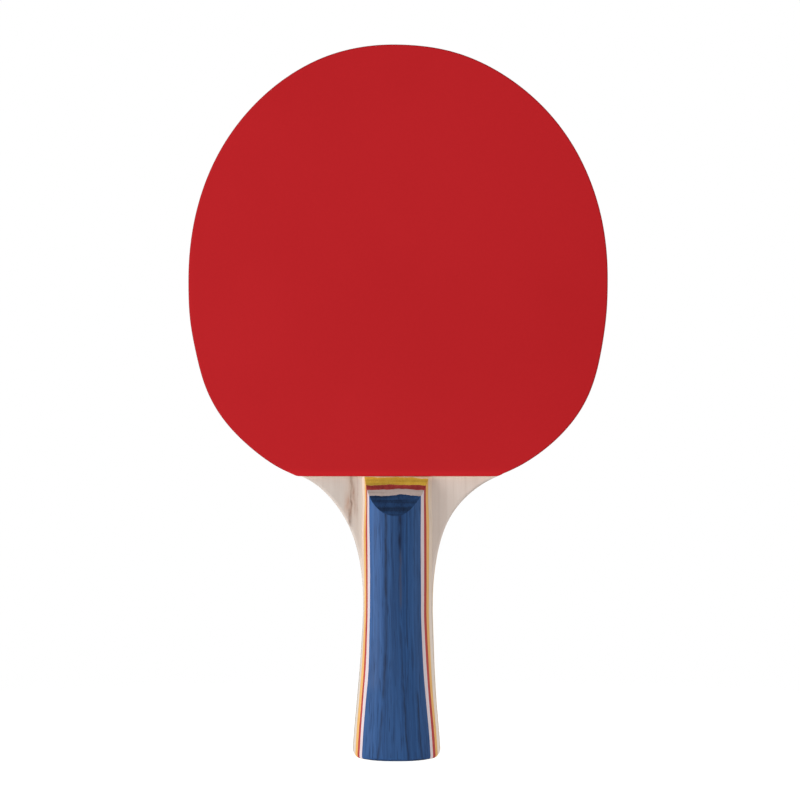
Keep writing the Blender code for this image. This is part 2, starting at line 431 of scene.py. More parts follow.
def make_ply(name, h_in, h_out, side):
    """h_in may be negative, for the core."""
    levels = [h_in, h_in + 0.03]
    k = 4
    levels += list(np.linspace(h_in + 0.03, h_out - 0.03, k + 2)[1:-1])
    levels += [h_out - 0.03, h_out]
    verts, faces, starts = [], [], []
    for j, h in enumerate(levels):
        edge = 0.03 if j in (0, len(levels) - 1) else 0.0
        p = ply_outline(h, edge)
        starts.append(sum(len(v) for v in verts))
        verts.append(to_world(p[:, 0], h, p[:, 1], side))
    n = len(verts[0])
    n_side = n // 2 + 1
    for a, b in zip(starts, starts[1:]):
        faces += ring_faces(n, a, b)
    faces += paired_cap(starts[0], n_side)
    faces += [tuple(reversed(f)) for f in paired_cap(starts[-1], n_side)]
    return make_mesh(name, np.concatenate(verts), faces)


# ------------------------------------------------------------ handle scales
def z_stations():
    z = [np.linspace(0, 0.5, 6), np.linspace(0.65, 2.4, 9),
         np.linspace(3, 12, 10), np.linspace(13.5, 86, 44),
         np.linspace(87, RAMP_TOP + 3, 24)]
    return np.concatenate(z)


def glue_edge(k, z, side, mirror, up=0.0):
    """Where glue line k comes out on the carved side, for each station."""
    x = axis_x(z) + side * width_at(glue_height(k, 0.0 * z, z, mirror), z, side, mirror)
    for _ in range(10):
        zz = shift_z(x, z)
        h = np.minimum(glue_height(k, x, zz, mirror) + up, 0.999 * half_b(zz, x))
        pl, pr = powers(zz, mirror)
        p = pl if side < 0 else pr
        x = axis_x(zz) + side * (half_a(zz) * sup(h / half_b(zz, x), p)
                                 + flank(h, zz, side, mirror))
    return x


def layer_grid(k, mirror):
    """Layer k between glue lines k and k+1 (k = 4: the blue block)."""
    z = z_stations()[:, None]
    xl, xr = (glue_edge(k, z, s, mirror) for s in (-1, 1))
    if k == 4:
        t = 0.5 - 0.5 * np.cos(np.pi * np.linspace(0, 1, 73))
        X = xl + (xr - xl) * t[None, :]
    else:
        ks, m = 4, 52
        yl, yr = (glue_edge(k + 1, z, s, mirror, -GLUE) for s in (-1, 1))
        tl = np.linspace(0, 1, ks + 1)[None, :-1]
        tm = np.linspace(0, 1, m + 1)[None, :]
        tr = np.linspace(0, 1, ks + 1)[None, 1:]
        X = np.concatenate([xl + (yl - xl) * tl, yl + (yr - yl) * tm,
                            yr + (xr - yr) * tr], axis=1)
    Z = shift_z(X, z)
    top = height_at(X, Z, mirror)
    bottom = glue_height(k, X, Z, mirror)
    if k < 4:
        top = np.minimum(top, glue_height(k + 1, X, Z, mirror) - GLUE)
    bottom[:, 0] = top[:, 0] = 0.5 * (bottom[:, 0] + top[:, 0])
    bottom[:, -1] = top[:, -1] = 0.5 * (bottom[:, -1] + top[:, -1])
    top = np.maximum(top, bottom)
    return X, Z, bottom, top


def make_layer(name, k, side):
    mirror = side > 0
    X, Z, lo, hi = layer_grid(k, mirror)
    r, c = X.shape
    low = to_world(X, lo, Z, side).reshape(-1, 3)
    top = to_world(X, hi, Z, side).reshape(-1, 3)
    verts = np.concatenate([low, top])
    faces = []
    o = r * c
    for i in range(r - 1):
        for j in range(c - 1):
            a = i * c + j
            faces.append((a, a + c, a + c + 1, a + 1))
            faces.append((o + a, o + a + 1, o + a + c + 1, o + a + c))
    for j in range(c - 1):                    # the two ends
        faces.append((j, j + 1, o + j + 1, o + j))
        a = (r - 1) * c + j
        faces.append((a, o + a, o + a + 1, a + 1))
    return make_mesh(name, verts, faces, 35.0)


def ramp_tool(side):
    h = np.concatenate([[2.0, RAMP_H0 - 0.12], np.linspace(RAMP_H0, 15.0, 8)])
    z = ramp_z(h)
    prof = [(z[i], h[i]) for i in range(len(h))] + [(RAMP_TOP + 14, 15.0),
                                                  (RAMP_TOP + 14, 2.0)]
    verts, n = [], len(prof)
    for x in (-22.0, 22.0):
        verts += [(x * MM, side * hh * MM, zz * MM) for zz, hh in prof]
    faces = ring_faces(n, 0, n)
    faces += [tuple(range(n)), tuple(reversed(range(n, 2 * n)))]
    ob = make_mesh("ramp_tool", verts, faces)
    return ob


def plane_ramp(ob, tool, angle=24.0):
    """Planes the ramp across the top of a scale layer, for good."""
    mod = ob.modifiers.new("ramp", 'BOOLEAN')
    mod.operation = 'DIFFERENCE'
    mod.solver = 'EXACT'
    mod.object = tool
    dg = bpy.context.evaluated_depsgraph_get()
    mesh = bpy.data.meshes.new_from_object(ob.evaluated_get(dg), depsgraph=dg)
    ob.modifiers.clear()
    old = ob.data
    mesh.name = ob.name
    ob.data = mesh
    bpy.data.meshes.remove(old)
    bm = bmesh.new()
    bm.from_mesh(mesh)
    bmesh.ops.remove_doubles(bm, verts=bm.verts, dist=2e-7)
    bmesh.ops.dissolve_degenerate(bm, dist=2e-7, edges=bm.edges)
    bm.to_mesh(mesh)
    bm.free()
    mesh.shade_smooth()
    mesh.set_sharp_from_angle(angle=math.radians(angle))


# ------------------------------------------------------------------- rubber
def make_sponge(name, side, seed):
    p = rubber_outline(-0.05, 0.55)
    n = len(p)
    levels = np.linspace(H_SPONGE[0], H_SPONGE[1], 7)
    verts, faces = [], []
    idx = np.arange(n)
    for j, h in enumerate(levels):
        rough = 0.10 * hash_noise(idx + 17 * j, seed) ** 2
        rough += 0.05 * (0.5 + 0.5 * np.sin(idx * 0.9 + j))
        edge = 0.04 if j in (0, 6) else 0.0
        q = inset(p, rough + edge)
        verts.append(to_world(q[:, 0], h, q[:, 1], side))
    for j in range(len(levels) - 1):
        faces += ring_faces(n, j * n, (j + 1) * n)
    verts = list(np.concatenate(verts))
    add_disc(verts, faces, p, levels[0], side, 0, True, 5)
    add_disc(verts, faces, p, levels[-1], side, (len(levels) - 1) * n, False, 5)
    return make_mesh(name, verts, faces, 40.0)


def add_disc(verts, faces, p, h, side, start, flip, rings, relief=None, first=1.0):
    """Fills an outline with shrinking rings round the middle of the head."""
    n = len(p)
    mid = np.array([0.0, 172.0])
    prev = start
    for i in range(1, rings):
        s = first * (1.0 - i / rings)
        q = mid + (p - mid) * s
        hh = h if relief is None else relief(q)
        at = len(verts)
        verts.extend(to_world(q[:, 0], hh, q[:, 1], side))
        f = ring_faces(n, prev, at)
        faces += [tuple(reversed(v)) for v in f] if flip else f
        prev = at
    at = len(verts)
    hh = h if relief is None else float(relief(mid[None, :])[0])
    verts.extend(to_world(np.array([mid[0]]), hh, np.array([mid[1]]), side))
    for i in range(n):
        f = (prev + i, prev + (i + 1) % n, at)
        faces.append(tuple(reversed(f)) if flip else f)


def make_topsheet(name, side, seed):
    gap = 0.75
    p = rubber_outline(0.0, gap)
    n = len(p)
    # outer edge of the sheet, softened where the knife left it
    prof = [(H_SHEET, 0.02), (H_SHEET + 0.10, 0.0), (H_SHEET + 0.34, 0.0),
            (SHEET_H - 0.24, 0.03), (SHEET_H - 0.13, 0.10),
            (SHEET_H - 0.055, 0.22), (SHEET_H - 0.015, 0.40),
            (SHEET_H - 0.004, 0.75)]

    def relief(q):
        """Very slight unevenness of the glued-on sheet."""
        x, z = q[:, 0], q[:, 1]
        r = 0.010 * np.sin(x * 0.085 + seed) * np.sin(z * 0.07 + 2 * seed)
        r += 0.006 * np.sin(x * 0.21 + 0.4 * z * 0.2 + 3 * seed)
        edge = np.exp(-np.maximum(0.0, z - RUBBER_Z) / 1.1)
        return SHEET_H - 0.016 + r - 0.17 * edge

    verts, faces = [], []
    for h, d in prof:
        q = inset(p, d)
        low = 0.17 * np.exp(-np.maximum(0.0, q[:, 1] - RUBBER_Z) / 1.1)
        hh = h - low * step(h, H_SHEET + 0.3, SHEET_H)
        verts.extend(to_world(q[:, 0], hh, q[:, 1], side))
    for j in range(len(prof) - 1):
        faces += ring_faces(n, j * n, (j + 1) * n)
    last = (len(prof) - 1) * n
    # two close rings keep the lower edge's slope crisp, then the wide field
    prev, base = last, inset(p, 0.75)
    for d in (1.3, 2.1, 3.2):
        q = inset(p, d)
        at = len(verts)
        verts.extend(to_world(q[:, 0], relief(q), q[:, 1], side))
        faces += ring_faces(n, prev, at)
        prev = at
    add_disc(verts, faces, inset(p, 3.2), SHEET_H, side, prev, False, 22, relief)
    add_disc(verts, faces, p, H_SHEET, side, 0, True, 4)

    # pimples on the inner side, moulded with the sheet, near the cut edge
    pitch, r_top, r_tip = 2.10, 0.98, 0.82
    poly = p
    seg_a, seg_b = poly, np.roll(poly, -1, axis=0)

    def signed(c):
        d = seg_b - seg_a
        t = np.einsum('ijk,jk->ij', c[:, None, :] - seg_a[None], d)
        t = np.clip(t / np.maximum(1e-9, (d * d).sum(1))[None], 0, 1)
        q = seg_a[None] + t[:, :, None] * d[None]
        dist = np.linalg.norm(c[:, None, :] - q, axis=2)
        j = dist.argmin(1)
        near = q[np.arange(len(c)), j]
        nn = np.stack([d[j, 1], -d[j, 0]], axis=1)
        nn /= np.linalg.norm(nn, axis=1)[:, None]
        out = ((c - near) * nn).sum(1) > 0
        return np.where(out, dist[np.arange(len(c)), j],
                        -dist[np.arange(len(c)), j]), near, nn

    centres = []
    row = 0
    z = LINE_Z - 1.0
    while z < TIP_Z + 2:
        off = 0.5 * pitch if row % 2 else 0.0
        xs = np.arange(-78, 78, pitch) + off + 0.35 * seed
        centres.append(np.stack([xs, np.full_like(xs, z)], axis=1))
        z += pitch * math.sqrt(3) / 2
        row += 1
    centres = np.concatenate(centres)
    keep = []
    for i in range(0, len(centres), 400):
        d, _, _ = signed(centres[i:i + 400])
        keep.append((d < 0.35) & (d > -5.2))
    centres = centres[np.concatenate(keep)]
    sides = 12
    ang = np.arange(sides) * 2 * np.pi / sides + 0.2
    for c in centres:
        rings = []
        ok = True
        for h, r in ((H_PIPS, r_tip - 0.05), (H_PIPS + 0.06, r_tip),
                     (H_SHEET - 0.12, r_top), (H_SHEET + 0.03, r_top + 0.10)):
            q = c[None] + r * np.stack([np.cos(ang), np.sin(ang)], axis=1)
            d, near, nn = signed(q)
            out = d > -0.03
            q[out] = near[out] - 0.03 * nn[out]
            area = 0.5 * abs(np.sum(q[:, 0] * np.roll(q[:, 1], -1)
                                    - np.roll(q[:, 0], -1) * q[:, 1]))
            ok = ok and area > 0.25
            rings.append((q, h))
        if not ok:
            continue
        at = len(verts)
        for q, h in rings:
            verts.extend(to_world(q[:, 0], h, q[:, 1], side))
        for j in range(3):
            faces += ring_faces(sides, at + j * sides, at + (j + 1) * sides)
        faces.append(tuple(at + i for i in reversed(range(sides))))
        faces.append(tuple(at + 3 * sides + i for i in range(sides)))
    return make_mesh(name, verts, faces, 35.0)


# ---------------------------------------------------------------- materials
class Nodes:
    """A small builder for node trees."""

    def __init__(self, name):
        self.mat = bpy.data.materials.new(name)
        self.mat.use_nodes = True
        self.nt = self.mat.node_tree
        self.nt.nodes.clear()
        self.out = self.nt.nodes.new("ShaderNodeOutputMaterial")
        self.bsdf = self.nt.nodes.new("ShaderNodeBsdfPrincipled")
        self.nt.links.new(self.bsdf.outputs[0], self.out.inputs[0])
        tc = self.nt.nodes.new("ShaderNodeTexCoord")
        self.P = self.vmul(tc.outputs["Object"], (1000.0, 1000.0, 1000.0))

    def put(self, sock, v):
        if hasattr(v, "is_linked") or hasattr(v, "links"):
            self.nt.links.new(v, sock)
        elif v is not None:
            if hasattr(sock.default_value, "__len__"):
                v = tuple(v)
                if len(sock.default_value) == 4 and len(v) == 3:
                    v = v + (1.0,)
            sock.default_value = v

    def vmul(self, a, b):
        n = self.nt.nodes.new("ShaderNodeVectorMath")
        n.operation = 'MULTIPLY'
        self.put(n.inputs[0], a)
        self.put(n.inputs[1], b)
        return n.outputs[0]

    def vadd(self, a, b):
        n = self.nt.nodes.new("ShaderNodeVectorMath")
        n.operation = 'ADD'
        self.put(n.inputs[0], a)
        self.put(n.inputs[1], b)
        return n.outputs[0]

    def math(self, op, a, b=None, c=None, clamp=False):
        n = self.nt.nodes.new("ShaderNodeMath")
        n.operation = op
        n.use_clamp = clamp
        self.put(n.inputs[0], a)
        if b is not None:
            self.put(n.inputs[1], b)
        if c is not None:
            self.put(n.inputs[2], c)
        return n.outputs[0]

    def xyz(self, v):
        n = self.nt.nodes.new("ShaderNodeSeparateXYZ")
        self.put(n.inputs[0], v)
        return n.outputs[0], n.outputs[1], n.outputs[2]

    def noise(self, scale, detail=3.0, rough=0.5, shift=(0, 0, 0), distort=0.0,
              vec=None):
        """Noise of the position in mm, times scale on each axis."""
        v = self.vmul(self.P if vec is None else vec, scale)
        if any(shift):
            v = self.vadd(v, shift)
        n = self.nt.nodes.new("ShaderNodeTexNoise")
        n.inputs["Scale"].default_value = 1.0
        n.inputs["Detail"].default_value = detail
        n.inputs["Roughness"].default_value = rough
        n.inputs["Distortion"].default_value = distort
        self.put(n.inputs["Vector"], v)
        return n.outputs[0]

    def voronoi(self, scale, vec=None, rnd=1.0, feature='F1'):
        v = self.vmul(self.P if vec is None else vec, scale)
        n = self.nt.nodes.new("ShaderNodeTexVoronoi")
        n.feature = feature
        n.inputs["Scale"].default_value = 1.0
        n.inputs["Randomness"].default_value = rnd
        self.put(n.inputs["Vector"], v)
        return n.outputs["Distance"]

    def band(self, v, lo, hi, a=0.0, b=1.0):
        """Smooth step of v from lo to hi, out of a to b."""
        n = self.nt.nodes.new("ShaderNodeMapRange")
        n.interpolation_type = 'SMOOTHSTEP'
        self.put(n.inputs["Value"], v)
        n.inputs["From Min"].default_value = lo
        n.inputs["From Max"].default_value = hi
        n.inputs["To Min"].default_value = a
        n.inputs["To Max"].default_value = b
        return n.outputs["Result"]

    def mix(self, fac, a, b, mode='MIX'):
        n = self.nt.nodes.new("ShaderNodeMix")
        n.data_type = 'RGBA'
        n.blend_type = mode
        n.clamp_factor = True
        self.put(n.inputs["Factor"], fac)
        self.put(n.inputs["A"] if False else n.inputs[6], a)
        self.put(n.inputs[7], b)
        return n.outputs[2]

    def join(self, x, y, z):
        n = self.nt.nodes.new("ShaderNodeCombineXYZ")
        for i, v in enumerate((x, y, z)):
            self.put(n.inputs[i], v)
        return n.outputs[0]

    def scale_colour(self, colour, value):
        """Colour times a value socket."""
        n = self.nt.nodes.new("ShaderNodeVectorMath")
        n.operation = 'SCALE'
        self.put(n.inputs[0], colour[:3] if isinstance(colour, tuple) else colour)
        self.put(n.inputs["Scale"], value)
        return n.outputs[0]

    def bump(self, height, distance, strength=1.0, normal=None):
        n = self.nt.nodes.new("ShaderNodeBump")
        n.inputs["Strength"].default_value = strength
        n.inputs["Distance"].default_value = distance
        self.put(n.inputs["Height"], height)
        if normal is not None:
            self.put(n.inputs["Normal"], normal)
        return n.outputs[0]

    def finish(self, colour, rough, normal=None, spec=0.5, **more):
        self.put(self.bsdf.inputs["Base Color"], colour)
        self.put(self.bsdf.inputs["Roughness"], rough)
        self.put(self.bsdf.inputs["Specular IOR Level"], spec)
        if normal is not None:
            self.put(self.bsdf.inputs["Normal"], normal)
        for k, v in more.items():
            self.put(self.bsdf.inputs[k.replace("_", " ")], v)
        return self.mat


def srgb(r, g, b, k=1.0):
    def f(c):
        c /= 255.0
        c = c / 12.92 if c <= 0.04045 else ((c + 0.055) / 1.055) ** 2.4
        return min(1.0, c * k)
    return (f(r), f(g), f(b))


def wood(name, light, dark, seed, along='z', fibre=0.5, band=0.5, pores=0.35,
         pore_colour=None, rough=0.5, marks_and_painted_light=None, spec=0.35, bump=0.012,
         end_grain_shade=0.6, ring=1.25, hair=5.5, fan=False, lines=0.14):
    """Straight-grained wood. The grain runs along one axis, so end grain
    shows by itself wherever the piece is cut across."""
    m = Nodes(name)

    def sc(a, l):
        return (a, a, l) if along == 'z' else (l, a, a)

    vec = None
    if fan:
        # the grain leans and opens a little towards the flared end
        x, y, z = m.xyz(m.P)
        d = m.math('MAXIMUM', m.math('SUBTRACT', 58.0, z), 0.0)
        open_ = m.math('MULTIPLY_ADD', m.math('MULTIPLY', d, d), 0.00006, 1.0)
        xg = m.math('SUBTRACT', m.math('DIVIDE', x, open_),
                    m.math('MULTIPLY', d, 0.018))
        wob = m.noise((0.05, 0.05, 0.045), 1.0, 0.5, (seed, 3, 8))
        xg = m.math('MULTIPLY_ADD', wob, 1.6, xg)
        vec = m.join(xg, y, z)
    sh = (seed * 3.1, seed * 1.7, seed * 2.3)
    # slow drift of the growth rings, then fibres, then pores
    slow = m.noise(sc(0.33, 0.006), 2.0, 0.5, sh, 0.4, vec)
    rings = m.noise(sc(ring, 0.014), 3.0, 0.55, tuple(v + 9 for v in sh), 0.25, vec)
    hairs = m.noise(sc(hair, 0.10), 3.0, 0.6, tuple(v + 4 for v in sh), 0.0, vec)
    grit = m.noise((6.0, 6.0, 6.0), 2.0, 0.6, sh)
    dots = m.noise(sc(3.4, 0.11), 1.0, 0.4, tuple(v + 21 for v in sh), 0.0, vec)
    # where the cut crosses the grain the wood drinks more stain; the darkening of these
    # faces is partly the end grain's own stain and partly painted shade for the up-facing
    # ramp of the handle
    geo = m.nt.nodes.new("ShaderNodeNewGeometry")
    nx, _, nz = m.xyz(geo.outputs["Normal"])
    across = m.math('ABSOLUTE', nz if along == 'z' else nx)
    end = m.band(across, 0.26, 0.44)
    cut = m.noise((0.035, 1.15, 0.02) if along == 'z' else (0.02, 1.15, 0.035),
                  2.0, 0.55, tuple(v + 13 for v in sh), 0.2)
    f = m.math('MULTIPLY', m.band(slow, 0.36, 0.66), 0.45 * band)
    f = m.math('MULTIPLY_ADD', m.band(rings, 0.38, 0.66), 0.55 * band, f)
    f = m.math('MULTIPLY_ADD', m.band(hairs, 0.35, 0.68), 0.5 * fibre, f)
    f = m.math('MULTIPLY_ADD', m.band(grit, 0.4, 0.7), 0.12 * fibre, f, clamp=True)
    colour = m.mix(f, light, dark)
    pore = m.band(dots, 0.60, 0.70, 0.0, pores)
    colour = m.mix(pore, colour, pore_colour or tuple(v * 0.45 for v in dark))
    # the hook adds streaks and veins, and for several woods painted light and shade
    if marks_and_painted_light:
        colour = marks_and_painted_light(m, colour, m.math('SUBTRACT', 1.0, end))
    ends = m.scale_colour(colour, m.band(cut, 0.38, 0.62, end_grain_shade * (1 + lines),
                                         end_grain_shade * (1 - lines)))
    colour = m.mix(end, colour, ends)
    h = m.math('MULTIPLY_ADD', hairs, 0.6, m.math('MULTIPLY', rings, 0.5))
    h = m.math('MULTIPLY_ADD', pore, -1.6, h)
    h = m.math('MULTIPLY_ADD', grit, 0.25, h)
    h = m.math('MULTIPLY_ADD', m.math('MULTIPLY', end, cut), 1.4, h)
    nrm = m.bump(h, bump * MM * 6, 0.55)
    r = m.math('MULTIPLY_ADD', f, 0.10, rough)
    r = m.math('MULTIPLY_ADD', pore, 0.25, r)
    r = m.math('MULTIPLY_ADD', end, 0.15, r)
    return m.finish(colour, r, nrm, spec)


def painted_light_under_rubber(m, colour, gain, reach=0.95):
    """Close under the rubber the wood is painted paler: painted light that fills in the
    shadow the rubber's edge casts there.
    """
    z = m.xyz(m.P)[2]
    u = m.math('MULTIPLY', m.math('SUBTRACT', RUBBER_Z, z), 1.0 / reach)
    under_rubber_light = m.math('EXPONENT', m.math('MULTIPLY', m.math('MULTIPLY', u, u), -1.0))
    return m.scale_colour(colour, m.math('MULTIPLY_ADD', under_rubber_light, gain, 1.0))


def painted_flank_light(m, colour, left, right):
    """Along the grip the bare wood's flanks are painted: the left flank darker and cooler
    as painted shade, the right flank lighter as painted light.
    """
    x, y, z = m.xyz(m.P)
    grip = m.math('MULTIPLY', m.band(z, 64.0, 50.0), m.band(y, 1.0, -0.6))
    for far, tint in ((-1.0, left), (1.0, right)):
        g = m.math('MULTIPLY', grip, m.band(x, far * 11.0, far * 11.8))
        colour = m.mix(g, colour, m.mix(1.0, colour, tint, 'MULTIPLY'))
    return colour


def streak_and_painted_light(m, colour, side_grain):
    """Brown mineral streak in the left shoulder of the front face, laid over painted light
    and shade: paler under the rubber, greyer on the left flank, a little lighter on the
    right.
    """
    x, y, z = m.xyz(m.P)
    colour = painted_flank_light(m, painted_light_under_rubber(m, colour, 0.34),
                    (0.82, 0.88, 0.93), (1.0, 1.04, 1.09))
    # painted shade: the left flank of the front face greyer
    left_flank_shade = m.math('MULTIPLY', m.band(x, -12.8, -14.4), m.band(y, -1.0, -2.4))
    colour = m.mix(left_flank_shade, colour, m.mix(1.0, colour, (0.90, 0.93, 0.94), 'MULTIPLY'))
    # painted light: the right of the face ply up to 2% lighter
    colour = m.scale_colour(colour, m.band(x, 10.0, 16.0, 1.0, 1.02))
    warp = m.noise((0.5, 0.3, 0.22), 3.0, 0.6, (5, 1, 2))
    xx = m.math('MULTIPLY_ADD', m.math('SUBTRACT', warp, 0.5), 1.6, x)
    front = m.band(y, -2.4, -2.9)
    out = colour
    for cx, cz, wx, wz, k, tone in ((-17.0, 100.0, 1.5, 6.0, 0.50, (192, 164, 144)),
                                    (-17.6, 91.5, 1.8, 5.0, 0.55, (190, 156, 134)),
                                    (-17.0, 101.0, 0.50, 4.2, 0.75, (140, 116, 98)),
                                    (-16.2, 96.3, 0.42, 3.4, 0.70, (150, 114, 96)),
                                    (-17.1, 93.6, 0.34, 3.4, 0.75, (112, 84, 70)),
                                    (-18.3, 93.4, 0.75, 2.6, 0.60, (168, 126, 104)),
                                    (-17.5, 89.4, 0.60, 2.2, 0.75, (128, 94, 74)),
                                    (-17.5, 86.0, 0.60, 1.8, 0.65, (112, 88, 74)),
                                    (-14.8, 97.0, 0.22, 6.0, 0.45, (160, 122, 108)),
                                    (-15.6, 92.4, 0.34, 3.6, 0.55, (160, 128, 110)),
                                    (-14.9, 90.6, 0.28, 2.6, 0.50, (170, 142, 130))):
        dx = m.math('DIVIDE', m.math('SUBTRACT', xx, cx), wx)
        dz = m.math('DIVIDE', m.math('SUBTRACT', z, cz), wz)
        q = m.math('ADD', m.math('MULTIPLY', dx, dx), m.math('MULTIPLY', dz, dz))
        g = m.math('EXPONENT', m.math('MULTIPLY', q, -1.0))
        hair = m.noise((3.0, 0.5, 0.25), 2.0, 0.6, (cx, 0, cz))
        g = m.math('MULTIPLY', g, m.band(hair, 0.28, 0.60, 0.45, 1.0))
        g = m.math('MULTIPLY', m.math('MULTIPLY', g, front), k)
        out = m.mix(g, out, srgb(*tone))
    return out


def painted_edge_shade(m, colour, side_grain):
    """Down the left edge below the shoulder the wood is painted greyer, as painted shade
    on the side that faces the light; the grip's flanks get painted light and shade too.
    """
    x, y, z = m.xyz(m.P)
    # painted shade: the left edge greyer, toning down the light on the left-facing side
    left_edge_shade = m.math('MULTIPLY', m.band(x, -12.2, -13.4), m.band(z, 101.0, 94.0))
    left_edge_shade = m.math('MULTIPLY', left_edge_shade, m.band(y, 1.0, -0.6))
    colour = m.mix(left_edge_shade, colour, m.mix(1.0, colour, (0.80, 0.83, 0.85), 'MULTIPLY'))
    return painted_flank_light(m, colour, (0.88, 0.92, 0.97), (1.0, 1.04, 1.09))


def ochre_ends(m, colour, side_grain):
    """The dye shows deeper and greener on the cut ends."""
    ends = m.mix(1.0, colour, (0.84, 0.915, 0.32), 'MULTIPLY')
    # paler just under the rubber: painted light filling the shadow of the rubber's edge
    return painted_light_under_rubber(m, m.mix(side_grain, ends, colour), 0.45, 1.3)


def pale_ends(m, colour, side_grain):
    ends = m.mix(1.0, colour, (1.02, 0.96, 0.80), 'MULTIPLY')
    # paler just under the rubber: painted light filling the shadow of the rubber's edge
    colour = painted_light_under_rubber(m, m.mix(side_grain, ends, colour), 0.40, 1.1)
    # painted shade on the left flank and painted light on the right flank along the grip
    return painted_flank_light(m, colour, (0.87, 0.925, 0.98), (1.0, 1.04, 1.08))


def warm_ends(m, colour, side_grain):
    ends = m.mix(1.0, colour, (1.04, 0.98, 0.86), 'MULTIPLY')
    return m.mix(side_grain, ends, colour)


def blue_veins(m, colour, side_grain):
    """Dark veins down the dyed blocks, front and back, over strips of changed brightness:
    on the front these are painted light and shade, the left strip paler as a painted
    sheen; on the back they are tone.
    """
    x, y, z = m.xyz(m.P)
    d = m.math('MAXIMUM', m.math('SUBTRACT', 58.0, z), 0.0)
    dd = m.math('MULTIPLY', d, d)
    wob = m.math('SUBTRACT', m.noise((0.08, 0.08, 0.11), 3.0, 0.55, (2, 7, 4)), 0.5)
    fray = m.noise((2.6, 1.0, 0.20), 3.0, 0.65, (9, 2, 6))
    front = m.band(y, 2.0, -2.0)
    back = m.math('SUBTRACT', 1.0, front)
    out = colour

    def shade_and_tone_strip(face, x0, x1, tone, z_lo, z_hi):
        """Gain over a strip that ends crisply at x1: painted light and shade on the front,
        tone on the back.
        """
        xx = m.math('MULTIPLY_ADD', wob, 0.9, x)
        inner = m.math('MULTIPLY', m.band(xx, x0, x0 + 0.5),
                       m.band(xx, x1 + 0.25, x1 - 0.25))
        g = m.math('MULTIPLY', m.math('MULTIPLY', inner, m.band(z, z_lo, z_hi, 0.35, 1.0)),
                   face)
        gain = m.math('MULTIPLY_ADD', m.math('MULTIPLY', g, side_grain), tone - 1.0, 1.0)
        return gain

    # front: left strip paler as painted sheen and light, middle darker as painted shade,
    # right a little lighter; back: tone strips
    for face, x0, x1, tone, lo, hi in ((front, -14, -4.9, 1.27, 30, 66),
                                       (front, -4.9, 0.6, 0.90, 10, 60),
                                       (front, 0.6, 14, 1.04, 10, 60),
                                       (back, 2.2, 6.4, 1.16, 20, 60),
                                       (back, -8.0, -2.5, 0.90, 10, 50)):
        out = m.scale_colour(out, shade_and_tone_strip(face, x0, x1, tone, lo, hi))

    def vein(face, x0, t, q, wide, k, tone, spans):
        nonlocal out
        path = m.math('MULTIPLY_ADD', d, t, x0)
        path = m.math('MULTIPLY_ADD', dd, q, path)
        path = m.math('MULTIPLY_ADD', wob, 1.1, path)
        e = m.math('DIVIDE', m.math('SUBTRACT', x, path), wide)
        e = m.math('MULTIPLY_ADD', m.math('SUBTRACT', fray, 0.5), 0.9, e)
        g = m.math('EXPONENT', m.math('MULTIPLY', m.math('MULTIPLY', e, e), -1.0))
        mask = None
        for lo, hi, amount in spans:
            w = m.math('MULTIPLY', m.band(z, lo, lo + 5), m.band(z, hi, hi - 5))
            w = m.math('MULTIPLY', w, amount)
            mask = w if mask is None else m.math('MAXIMUM', mask, w)
        g = m.math('MULTIPLY', m.math('MULTIPLY', g, mask), k)
        g = m.math('MULTIPLY', g, m.band(fray, 0.25, 0.6, 0.45, 1.0))
        g = m.math('MULTIPLY', m.math('MULTIPLY', g, face), side_grain)
        out = m.mix(g, out, srgb(*tone))

    navy, brown = (20, 32, 56), (62, 70, 94)
    vein(front, 0.80, 0.025, 0.00042, 0.36, 0.9, navy,
         ((68, 95, 0.8), (52, 74, 0.5), (28, 50, 0.7), (-8, 30, 0.9)))
    vein(front, 0.75, 0.0, 0.0, 0.60, 0.95, (14, 26, 54),
         ((83, 92, 0.8), (75, 84.5, 1.0)))
    vein(front, 0.95, 0.0, 0.0, 0.40, 0.80, brown, ((53, 78, 1.0),))
    vein(front, -4.35, 0.01, -0.0011, 0.50, 0.80, navy,
         ((56, 95, 1.0), (36, 62, 0.5), (20, 42, 0.9), (-8, 22, 0.8)))
    vein(front, -2.2, 0.0, 0.0, 0.25, 0.25, navy, ((70, 95, 0.5), (30, 60, 1.0)))
    vein(front, 6.0, 0.0, 0.00085, 0.40, 0.75, navy, ((-8, 27, 1.0), (64, 95, 0.3)))
    vein(front, -8.3, 0.0, -0.0004, 0.22, 0.45, navy, ((74, 86, 1.0), (10, 40, 0.35)))
    vein(front, 3.2, 0.0, 0.0003, 0.30, 0.35, navy, ((40, 95, 1.0), (-8, 34, 0.6)))
    vein(front, -8.2, 0.0, -0.0006, 2.6, 0.03, (178, 160, 140), ((24, 95, 1.0),))
    vein(back, -1.6, -0.02, -0.0003, 0.36, 0.85, navy,
         ((40, 95, 1.0), (-8, 42, 0.7)))
    vein(back, 3.9, 0.01, 0.0006, 0.40, 0.60, navy, ((50, 95, 0.8), (-8, 36, 1.0)))
    vein(back, -6.2, 0.0, -0.0006, 0.34, 0.55, navy, ((12, 80, 1.0),))
    return out


